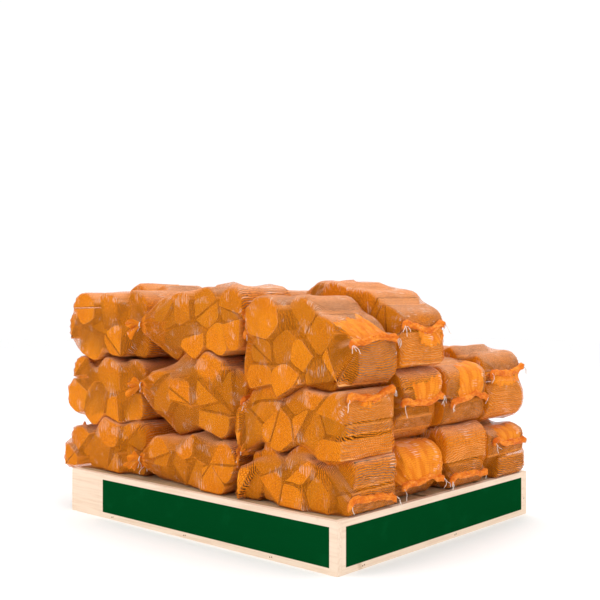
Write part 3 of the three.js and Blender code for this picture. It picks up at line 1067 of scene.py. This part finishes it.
# The hem: the net's end, folded twice and sewn across, which stands off the bag as a
# ruffled ridge and bunches up at its ends. It is the same yarn, packed so tight that no
# hole shows.
HEM_STEPS = 60
HEM_SIDES = 14
HEM_OUT = 0.0064
HEM_THICK = 0.0094
HEM_BUNCH = 0.75
HEM_RUFFLE = 0.0026
HEM_WAVE = 0.006
HEM_SINK = 0.0015
HEM_DROOP = 0.016
HEM_CREASE = 0.2
HEM_LEAN = 0.7
HEM_PAST_END = 0.03
HEM_END_SHARE = 0.12
HEM_DEEP = (0.66, 0.125, 0.008, 1)
HEM_BRIGHT = (0.96, 0.31, 0.028, 1)


def packed_yarn(name):
    """Net gathered or folded so tightly that its holes close."""
    material, shader, start, place = new_material(name, specular=0.08, sheen=0.08)
    clumps = place.noise((1, 0.4, 1), scale=60.0, detail=3.0)
    threads = place.noise((1, 0.12, 1), scale=520.0, detail=2.0)
    tone = (clumps * 0.55 + threads * 0.45).over(0.38, 0.66)
    colour = tone.mix(HEM_DEEP, HEM_BRIGHT)
    # Painted glints: pale flecks where fine threads and clumps of the packed net both stand high.
    painted_glint = threads.over(0.6, 0.74) * clumps.over(0.5, 0.66)
    feed(shader, Base_Color=(painted_glint * 0.6).mix(colour, PAINTED_YARN_HIGHLIGHT))
    feed(shader, Roughness=0.5 + threads * 0.2)
    feed(shader, Normal=bump(start, threads * 0.7 + clumps * 0.3, 0.0026))
    return material


def hem_rings(bag):
    """Rings of the hem's section from its front end to its back end."""
    own = bag["dice"].uniform(0, 40)
    droops = [bag["dice"].uniform(0, HEM_DROOP) for _ in range(2)]
    rings = []
    for k in range(HEM_STEPS + 1):
        share = k / HEM_STEPS
        centre = hem_line(bag, share * (1 + 2 * HEM_PAST_END) - HEM_PAST_END)
        ruffle = HEM_RUFFLE * noise.noise(Vector((share * 26, own, 0)))
        wave = HEM_WAVE * noise.noise(Vector((share * 4, own, 5)))
        lean = HEM_LEAN * noise.noise(Vector((share * 5, own, 11)))
        outer = max(0, abs(share - 0.5) - 0.5 + HEM_END_SHARE) / HEM_END_SHARE
        droop = outer ** 2 * droops[round(share)]
        bunch = HEM_BUNCH * outer * (1 + 0.6 * noise.noise(Vector((share * 40, own, 21))))
        taper = min(1, 0.4 + 16 * min(share, 1 - share)) * (1 + bunch)
        centre += Vector((ruffle - HEM_SINK, 0, wave + ruffle - droop))
        ring = []
        for side in range(HEM_SIDES):
            angle = side * math.tau / HEM_SIDES
            drift = 2 * noise.noise(Vector((share * 5, own, 3)))
            crease = HEM_CREASE * math.sin(angle * 4 + drift)
            fold = 1 + crease + 0.1 * noise.noise(Vector((share * 30, angle, own)))
            out = HEM_OUT * taper * fold * math.cos(angle)
            up = HEM_THICK * fold * (0.5 + 0.5 * taper) * math.sin(angle)
            ring.append(centre + Vector((
                out * math.cos(lean) - up * math.sin(lean),
                0,
                out * math.sin(lean) + up * math.cos(lean),
            )))
        rings.append(ring)
    return rings


folded_yarn = packed_yarn("folded_net")
for name, bag in bags.items():
    shape = bmesh.new()
    extrude_rings(shape, hem_rings(bag))
    bmesh.ops.recalc_face_normals(shape, faces=shape.faces)
    hem = piece_from(shape, name.replace("log_net", "hem"), [folded_yarn])


# The threads: white cotton. One is wound round the neck as its tie, and the hem's sewing
# thread ends in short loose tails at both corners.
THREAD_RADIUS = 0.0009
THREAD_SIDES = 5
TAIL_POINTS = 8
TAIL_LENGTH = (0.022, 0.044)
KINK = 0.62
DROOP = 0.45
TAILS_AT_HEM = (1, 2, 3)
TAILS_AT_TIE = 2
WINDINGS = 2
WINDING_POINTS = 14
WINDING_PITCH = 0.0016
SEWN_AT = (0.002, 0, -0.003)
COTTON_PALE = (0.93, 0.86, 0.80, 1)
COTTON_SHADE = (0.74, 0.62, 0.54, 1)


def strand(shape, points):
    """A thread through a list of points."""
    rings = []
    for k, point in enumerate(points):
        before, after = points[max(k - 1, 0)], points[min(k + 1, len(points) - 1)]
        way = (after - before).normalized()
        side = way.orthogonal().normalized()
        lift = way.cross(side)
        ring = []
        for turn in range(THREAD_SIDES):
            angle = turn * math.tau / THREAD_SIDES
            ring.append(point + THREAD_RADIUS * (math.cos(angle) * side + math.sin(angle) * lift))
        rings.append(ring)
    extrude_rings(shape, rings)


def tail(shape, start, way, dice):
    """A loose end: it leaves along way, kinks, and droops."""
    step = dice.uniform(*TAIL_LENGTH) / TAIL_POINTS
    points = [start]
    way = way.normalized()
    for _ in range(TAIL_POINTS):
        kink = Vector([dice.uniform(-KINK, KINK) for _ in range(3)])
        way = (way + kink - Vector((0, 0, DROOP))).normalized()
        points.append(points[-1] + way * step)
    strand(shape, points)


cotton, cotton_shader, start, place = new_material("cotton_thread", specular=0.2)
twist = place.noise(EVEN, scale=1500.0, detail=1.0)
feed(cotton_shader, Base_Color=twist.mix(COTTON_PALE, COTTON_SHADE))
feed(cotton_shader, Roughness=0.85, Normal=bump(start, twist, 0.0004))
for name, bag in bags.items():
    dice = bag["dice"]
    shape = bmesh.new()
    for share, outward in ((0.0, -1), (1.0, 1)):
        for _ in range(dice.choice(TAILS_AT_HEM)):
            corner = hem_line(bag, share) + Vector(SEWN_AT)
            tail(shape, corner, Vector((0.9, 0.35 * outward, -0.3)), dice)
    side = bag["way"].cross(Vector((0, 0, 1))).normalized()
    lift = side.cross(bag["way"])
    wound = []
    for k in range(WINDINGS * WINDING_POINTS + 1):
        angle = k * math.tau / WINDING_POINTS
        wound.append(
            bag["tie"]
            + (TIE_RADIUS + WINDING_PITCH) * (math.cos(angle) * side + math.sin(angle) * lift)
            + bag["way"] * (k / WINDING_POINTS - WINDINGS / 2) * WINDING_PITCH
        )
    strand(shape, wound)
    for _ in range(TAILS_AT_TIE):
        tail(shape, wound[-1], Vector((-0.3, -0.8, -0.5)), dice)
    bmesh.ops.recalc_face_normals(shape, faces=shape.faces)
    piece_from(shape, name.replace("log_net", "threads"), [cotton])


# The floor and the light: a plain pale floor, and soft studio lamps at the front, at the
# right and above, in a white room.
FLOOR_SIZE = 14.0
FLOOR_WHITE = (0.97, 0.97, 0.97, 1)
STUDIO_LIGHT = 1.03
LAMP_AIM = Vector((0, 0, 0.4))
floor_shape = bmesh.new()
bmesh.ops.create_grid(floor_shape, x_segments=1, y_segments=1, size=FLOOR_SIZE)
floor_mesh = bpy.data.meshes.new("floor")
floor_shape.to_mesh(floor_mesh)
floor_shape.free()
floor = bpy.data.objects.new("floor", floor_mesh)
bpy.context.scene.collection.objects.link(floor)
floor_paint, floor_shader, _, _ = new_material("floor_paint", specular=0.1)
feed(floor_shader, Base_Color=FLOOR_WHITE, Roughness=0.8)
floor_mesh.materials.append(floor_paint)
floor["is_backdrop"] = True

world = bpy.data.worlds.new("studio")
world.use_nodes = True
background = world.node_tree.nodes["Background"]
background.inputs["Color"].default_value = (1, 1, 1, 1)
background.inputs["Strength"].default_value = STUDIO_LIGHT
bpy.context.scene.world = world
bpy.context.scene.view_settings.view_transform = "Standard"

LAMPS = {
    "key": {"place": (-1.6, -3.6, 3.4), "size": 2.4, "power": 42},
    "side": {"place": (3.8, -0.6, 2.4), "size": 2.0, "power": 15},
    "top": {"place": (0.3, 0.4, 4.2), "size": 3.0, "power": 56},
}
for name, lamp in LAMPS.items():
    light = bpy.data.lights.new(name, "AREA")
    light.size = lamp["size"]
    light.energy = lamp["power"]
    holder = bpy.data.objects.new(name, light)
    holder.location = lamp["place"]
    aim = LAMP_AIM - Vector(lamp["place"])
    holder.rotation_euler = aim.to_track_quat("-Z", "Y").to_euler()
    bpy.context.scene.collection.objects.link(holder)

low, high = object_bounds()
